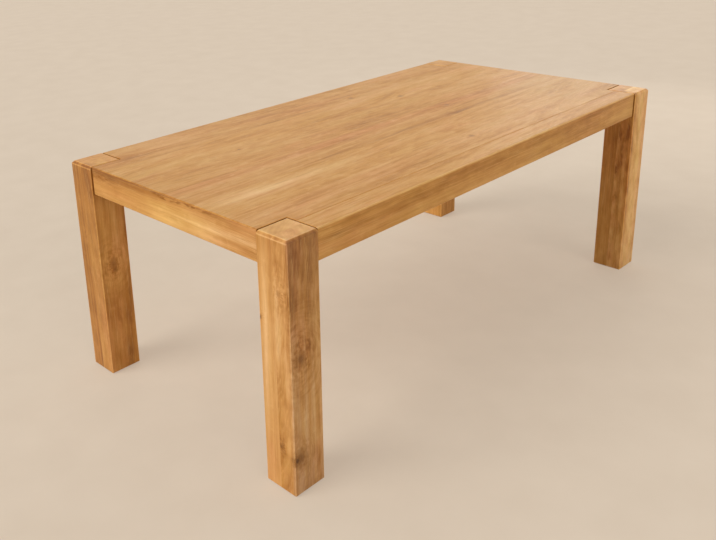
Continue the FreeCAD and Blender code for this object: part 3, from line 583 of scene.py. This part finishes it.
CAP_REACH = (0.20, 0.20, 0.006)
STAVES = {
    # Front left outer stave: the top of its front side is painted darker as shade, and that side takes a
    # painted shade tint.
    "front_left_outer": {"heart": (-1.24, -0.40), "lean": (0.16, 0.05), "pale": 0.48, "wild": 0.95,
                         "knots": (("y", (-0.976, -0.50, 0.116), 0.019, 0.60, 0.045),
                                   ("y", (-0.989, -0.50, 0.113), 0.010, 0.95, 0.02),
                                   ("x", (-1.0, -0.463, 0.598), 0.006, 0.40, 0.045),
                                   ("x", (-1.0, -0.449, 0.140), 0.005, 0.60, 0.025),
                                   ("y", (-0.966, -0.50, 0.412), 0.015, 0.60, 0.12)),
                         "patches": (((-0.944, -0.50, 0.76), (0.15, 0.008, 0.26), -0.33),
                                     ((-0.944, -0.444, 0.752), CAP_REACH, 0.08),
                                     ((-0.944, -0.50, 0.03), (0.15, 0.008, 0.08), -0.06),
                                     ((-0.915, -0.50, 0.22), (0.040, 0.008, 0.13), 0.34),
                                     ((-1.0, -0.47, 0.42), (0.02, 0.05, 0.16), 0.14),
                                     ((-1.0, -0.475, 0.10), (0.02, 0.03, 0.16), -0.06),
                                     ((-1.0, -0.475, 0.68), (0.008, 0.04, 0.09), -0.15)),
                         "stains_and_painted_light": (((-0.944, -0.50, 0.30), (0.20, 0.008, 0.70), PAINTED_SHADE_TINT, 0.50),
                                    ((-0.944, -0.50, 0.00), (0.20, 0.008, 0.12), PAINTED_SHADE_TINT, 0.30),
                                    ((-0.944, -0.50, 0.75), (0.20, 0.008, 0.14), PAINTED_SHADE_TINT, 0.30),
                                    ((-1.0, -0.47, 0.45), (0.008, 0.06, 0.50), TAN, 0.45))},
    "front_left_inner": {"heart": (-0.80, -0.62), "lean": (0.01, -0.02), "pale": 0.52, "wild": 0.35,
                         "knots": (("x", (-1.0, -0.391, 0.509), 0.005, 0.70, 0.02),),
                         "patches": (((-1.0, -0.42, 0.38), (0.02, 0.03, 0.14), 0.14),
                                     ((-0.944, -0.444, 0.752), CAP_REACH, 0.06),
                                     ((-1.0, -0.42, 0.74), (0.008, 0.04, 0.05), -0.18)),
                         "stains_and_painted_light": (((-1.0, -0.44, 0.40), (0.008, 0.10, 0.60), TAN, 0.45),
                                    ((-1.0, -0.412, 0.58), (0.02, 0.014, 0.16), SAPWOOD, 0.5))},
    # Front right staves: the post's inner side under the top is painted darker as shade, less so at the foot.
    "front_right_outer": {"heart": (0.70, -0.36), "lean": (0.02, 0.04), "pale": 1.00, "wild": 1.9,
                          "patches": (((0.888, -0.47, 0.56), (0.02, 0.08, 0.50), -0.80),
                                      ((0.944, -0.444, 0.752), CAP_REACH, -0.12),
                                      ((0.990, -0.50, 0.5), (0.014, 0.03, 0.4), -0.12),
                                      ((0.944, -0.50, 0.72), (0.10, 0.008, 0.05), 0.09),
                                      ((0.888, -0.47, 0.05), (0.008, 0.08, 0.10), 0.12)),
                          "stains_and_painted_light": (((0.944, -0.444, 0.752), CAP_REACH, AMBER, 0.5),
                                     ((0.985, -0.50, 0.5), (0.014, 0.03, 0.4), BLUSH, 0.8),
                                     ((0.940, -0.50, 0.4), (0.200, 0.03, 0.5), AMBER, 0.9))},
    "front_right_inner": {"heart": (0.70, -0.60), "lean": (0.02, 0.02), "pale": 0.42,
                          "patches": (((0.888, -0.444, 0.58), (0.02, 0.10, 0.24), -0.34),
                                      ((0.888, -0.416, 0.25), (0.02, 0.006, 0.25), 0.16),
                                      ((0.888, -0.416, 0.05), (0.008, 0.08, 0.10), 0.12)),
                          "stains_and_painted_light": (((0.944, -0.444, 0.752), CAP_REACH, AMBER, 0.5),)},
    # Back left staves: their left side is painted darker as shade, most at the top.
    "back_left_outer": {"heart": (-0.93, 0.20), "lean": (-0.03, 0.02), "pale": 0.38, "wild": 0.4,
                        "patches": (((-1.0, 0.46, 0.40), (0.012, 0.10, 0.80), -0.20),
                                    ((-1.0, 0.46, 0.72), (0.012, 0.10, 0.07), -0.14)),
                        "stains_and_painted_light": (((-1.0, 0.46, 0.40), (0.012, 0.10, 0.80), TAN, 0.20),
                                   ((-0.944, 0.444, 0.752), CAP_REACH, AMBER, 0.8))},
    "back_left_inner": {"heart": (-0.70, 0.60), "lean": (0.05, 0.05), "pale": 0.42,
                        "knots": (("y", (-0.951, 0.388, 0.400), 0.012, 0.48, 0.07),
                                  ("y", (-0.946, 0.388, 0.376), 0.006, 0.50, 0.02)),
                        "stains_and_painted_light": (((-1.0, 0.42, 0.40), (0.012, 0.10, 0.80), TAN, 0.20),
                                   ((-0.944, 0.444, 0.752), CAP_REACH, AMBER, 0.8)),
                        "patches": (((-1.0, 0.42, 0.40), (0.012, 0.10, 0.80), -0.20),
                                    ((-1.0, 0.42, 0.72), (0.012, 0.10, 0.07), -0.14),
                                    ((-0.944, 0.388, 0.24), (0.10, 0.02, 0.10), -0.14),
                                    ((-0.891, 0.388, 0.54), (0.008, 0.03, 0.07), -0.50),
                                    ((-0.944, 0.388, 0.05), (0.10, 0.02, 0.06), -0.16),
                                    ((-0.944, 0.388, 0.52), (0.10, 0.02, 0.18), 0.16))},
    "back_right_outer": {"heart": (0.95, 0.26), "lean": (0.03, 0.03), "pale": 0.50,
                         "patches": (((0.944, 0.444, 0.752), CAP_REACH, -0.14),)},
    "back_right_inner": {"heart": (0.70, 0.55), "lean": (0.02, -0.04), "pale": 0.48,
                         "patches": (((0.944, 0.444, 0.752), CAP_REACH, -0.14),)},
}
for seat, (stave, cut) in enumerate(STAVES.items()):
    wood = oak(f"oiled_oak_post_{stave}", "zxy", 60.2 + seat * 2.3, wear_and_highlight=post_arrises, dark=post_gap_shade,
               calm=post_cap, **cut)
    give(f"leg_{stave}_stave", wood)


# Hanger bolts, washers and nuts
# Two zinc-plated bolts in each post: a coarse thread turned into the oak and a fine one through the corner
# block, where a washer and a nut draw the post into its corner.

BOLT_LENGTH, BOLT_RADIUS = 0.08747, 0.005
COARSE_PITCH, FINE_PITCH = 0.0036, 0.0015
turn = np.linspace(0, 2 * np.pi, 24, endpoint=False)[None]
coarse = np.linspace(0, 0.038, 84)[:, None]
fine = np.linspace(0.041, BOLT_LENGTH, 190)[:, None]
point = np.clip(coarse / 0.006, 0.06, 1)
coarse_radii = BOLT_RADIUS * point * (0.72 + 0.28 * ridge(coarse, turn, COARSE_PITCH))
lead_in = np.clip((BOLT_LENGTH - fine) / 0.001, 0, 1)
fine_radii = BOLT_RADIUS * (0.84 + (0.02 + 0.14 * ridge(fine, turn, FINE_PITCH)) * lead_in)
bolt_heights = np.concatenate((coarse, fine)) + 0 * turn
bolt_radii = np.concatenate((coarse_radii, fine_radii))

# Places along the diagonal, counted from the outer corner of the table.
BOLT_TIP, WASHER_SEAT, NUT_SEAT = 0.0866, 0.15857, 0.16107
bolt_axes = [(-x_side, -y_side, 0) for x_side, y_side in CORNERS.values() for z in FASTENER_LEVELS]


def along_diagonals(distance):
    """Points on the corners' diagonals, this far from the table's outer corners, at both bolt levels."""
    inward = distance / math.sqrt(2)
    return [(x_side * (OUTER_X - inward), y_side * (OUTER_Y - inward), z)
            for x_side, y_side in CORNERS.values() for z in FASTENER_LEVELS]


bolts = turned(along_diagonals(BOLT_TIP), bolt_axes, bolt_heights, bolt_radii)
skin("threaded_hanger_bolts", bolts, "hanger_bolts")

# A washer's outline, radius and height in millimetres, from its bore round to its bore again.
washer_outline = np.array((
    (5.3, 2.3), (5.3, 0.2), (5.5, 0), (11.6, 0),
    (12, 0.4), (12, 1.9), (11.4, 2.5), (5.5, 2.5),
))
washer_turn = np.zeros((1, 48))
washer_radii = washer_outline[:, :1] / 1000 + washer_turn
washer_heights = washer_outline[:, 1:] / 1000 + washer_turn
washers = turned(along_diagonals(WASHER_SEAT), bolt_axes, washer_heights, washer_radii)
skin("round_bolt_washers", washers, "bolt_washers", hollow=True)

# A nut's six flats: half the width divided by the cosine of the turn from the middle of the nearest flat.
# A cone at each end takes its points off, and the bore closes the ring.
NUT_HALF_WIDTH, NUT_HEIGHT, NUT_BORE = 0.0085, 0.008, 0.0052
nut_turn = np.linspace(0, 2 * np.pi, 72, endpoint=False)[None]
flats = NUT_HALF_WIDTH / np.cos((nut_turn + np.pi / 6) % (np.pi / 3) - np.pi / 6)
nut_rows = np.array((0, 0, 0.2, 0.4, 0.7, 4.0, 7.3, 7.6, 7.8, 8.0, 8.0))[:, None] / 1000
cone = NUT_HALF_WIDTH * 0.97 + np.minimum(nut_rows, NUT_HEIGHT - nut_rows) * math.sqrt(3)
nut_radii = np.minimum(flats, cone)
nut_radii[[0, -1]] = NUT_BORE
nut_heights = nut_rows + 0 * nut_turn
nuts = turned(along_diagonals(NUT_SEAT), bolt_axes, nut_heights, nut_radii)
skin("hexagon_bolt_nuts", nuts, "bolt_nuts", hollow=True)


# Felt pads
# Pressed wool felt, cut square and stuck under each post, so that the table slides without marking the floor.


def wool_felt(name):
    """Grey-brown pressed felt: matted fibres that lie every way, with a soft fuzz."""
    x, y, z = surface(name).parts()
    mat = x.cloud(y, z, (900, 900, 900), 4)
    stops = ((0.2, (0.050, 0.042, 0.036)), (0.5, (0.085, 0.073, 0.064)), (0.8, (0.14, 0.125, 0.11)))
    return finished(shaded((mat + 0.5).ramp(stops), mat * 0.05 + 0.95, mat, 0.0006))


for corner in CORNERS:
    give(f"felt_pad_{corner}", wool_felt(f"wool_felt_{corner}"))


# Studio
# A plain warm floor that shows paler to the camera than the shade on it would make it, and an even pale sky.
# Soft light comes from the left, low from the front, from high behind and from a panel past the right end.


def seen(air):
    """1 for rays from the camera, and for those that it sees mirrored or through something."""
    rays = ("Is Camera Ray", "Is Glossy Ray", "Is Transmission Ray")
    camera_ray, glossy_ray, clear_ray = (air.node("ShaderNodeLightPath", {}, {}, ray) for ray in rays)
    return camera_ray.higher(glossy_ray).higher(clear_ray)


floor_mesh = bpy.data.meshes.new("floor")
floor_mesh.from_pydata([(-30, -30, 0), (30, -30, 0), (30, 30, 0), (-30, 30, 0)], [], [(0, 1, 2, 3)])
floor = bpy.data.objects.new("floor", floor_mesh)
bpy.context.scene.collection.objects.link(floor)
x, y, z = surface("pale_floor").parts()
mottle = x.cloud(y, z, (5, 5, 5), 4)
plaster = (mottle + 0.5).ramp(((0.3, (0.60, 0.50, 0.385)), (0.7, (0.66, 0.56, 0.44))))
lit_floor = shaded(plaster, mottle * 0.1 + 0.85, mottle, 0.0003)
pale_floor = plaster.node("ShaderNodeEmission", {}, {"Color": (0.80, 0.655, 0.51, 1), "Strength": 1.0})
floor_look = plaster.node("ShaderNodeMixShader", {}, {0: seen(plaster) * 0.5, 1: lit_floor, 2: pale_floor})
floor_mesh.materials.append(finished(floor_look))

world = bpy.data.worlds.new("studio")
bpy.context.scene.world = world
world.use_nodes = True
world.node_tree.nodes.clear()
air = Finish(world, None)
sky = air.node("ShaderNodeBackground", {}, {"Color": (1, 1, 1, 1), "Strength": 0.30})
backdrop = air.node("ShaderNodeBackground", {}, {"Color": (0.80, 0.74, 0.67, 1), "Strength": 1.0})
sky_look = air.node("ShaderNodeMixShader", {}, {0: seen(air), 1: sky, 2: backdrop})
sky_output = world.node_tree.nodes.new("ShaderNodeOutputWorld")
world.node_tree.links.new(sky_look.socket, sky_output.inputs["Surface"])

SOFT_LAMPS = {
    "left_lamp": ((0.60, -0.20, -0.45), 2.20),
    "front_lamp": ((0.05, 0.25, -0.10), 0.90),
    "high_lamp": ((-0.10, -0.12, -0.15), 0.30),
}
for name, (travel, strength) in SOFT_LAMPS.items():
    lamp = bpy.data.lights.new(name, "SUN")
    lamp.energy = strength
    lamp.angle = math.radians(40)
    lamp_object = bpy.data.objects.new(name, lamp)
    lamp_object.rotation_euler = Vector(travel).to_track_quat("-Z", "Y").to_euler()
    bpy.context.scene.collection.objects.link(lamp_object)

PANEL_PLACE = Vector((4.10, 0.66, 1.62))
panel = bpy.data.lights.new("panel", "AREA")
panel.shape = "RECTANGLE"
panel.size = 2.6
panel.size_y = 1.6
panel.energy = 14
panel_object = bpy.data.objects.new("panel", panel)
panel_object.location = PANEL_PLACE
panel_object.rotation_euler = (Vector((0.6, -0.2, 0.75)) - PANEL_PLACE).to_track_quat("-Z", "Y").to_euler()
panel_object.visible_camera = False
bpy.context.scene.collection.objects.link(panel_object)

# The camera stands at the near left corner and looks down along the table, turned a little clockwise.
# The shift is in pixels of a picture 716 wide.
HEADING, PITCH, ROLL = math.radians(42.427), math.radians(17.958), math.radians(-2.562)
CAMERA_PLACE = Vector((-2.29194, -1.86112, 1.56890))
SHIFT_RIGHT, SHIFT_UP, PICTURE_WIDTH = 90, -110, 716
ahead = Vector((math.sin(HEADING) * math.cos(PITCH), math.cos(HEADING) * math.cos(PITCH), -math.sin(PITCH)))
level = Vector((math.cos(HEADING), -math.sin(HEADING), 0))
over = level.cross(ahead)
right = level * math.cos(ROLL) + over * math.sin(ROLL)
up = over * math.cos(ROLL) - level * math.sin(ROLL)
camera = bpy.data.cameras.new("camera")
camera.lens = 42.357
camera.sensor_width = 36
camera.shift_x = SHIFT_RIGHT / PICTURE_WIDTH
camera.shift_y = SHIFT_UP / PICTURE_WIDTH
camera_object = bpy.data.objects.new("camera", camera)
camera_object.matrix_world = Matrix((
    (right.x, up.x, -ahead.x, CAMERA_PLACE.x),
    (right.y, up.y, -ahead.y, CAMERA_PLACE.y),
    (right.z, up.z, -ahead.z, CAMERA_PLACE.z),
    (0, 0, 0, 1),
))
bpy.context.scene.collection.objects.link(camera_object)
bpy.context.scene.camera = camera_object
bpy.context.scene.view_settings.view_transform = "Standard"
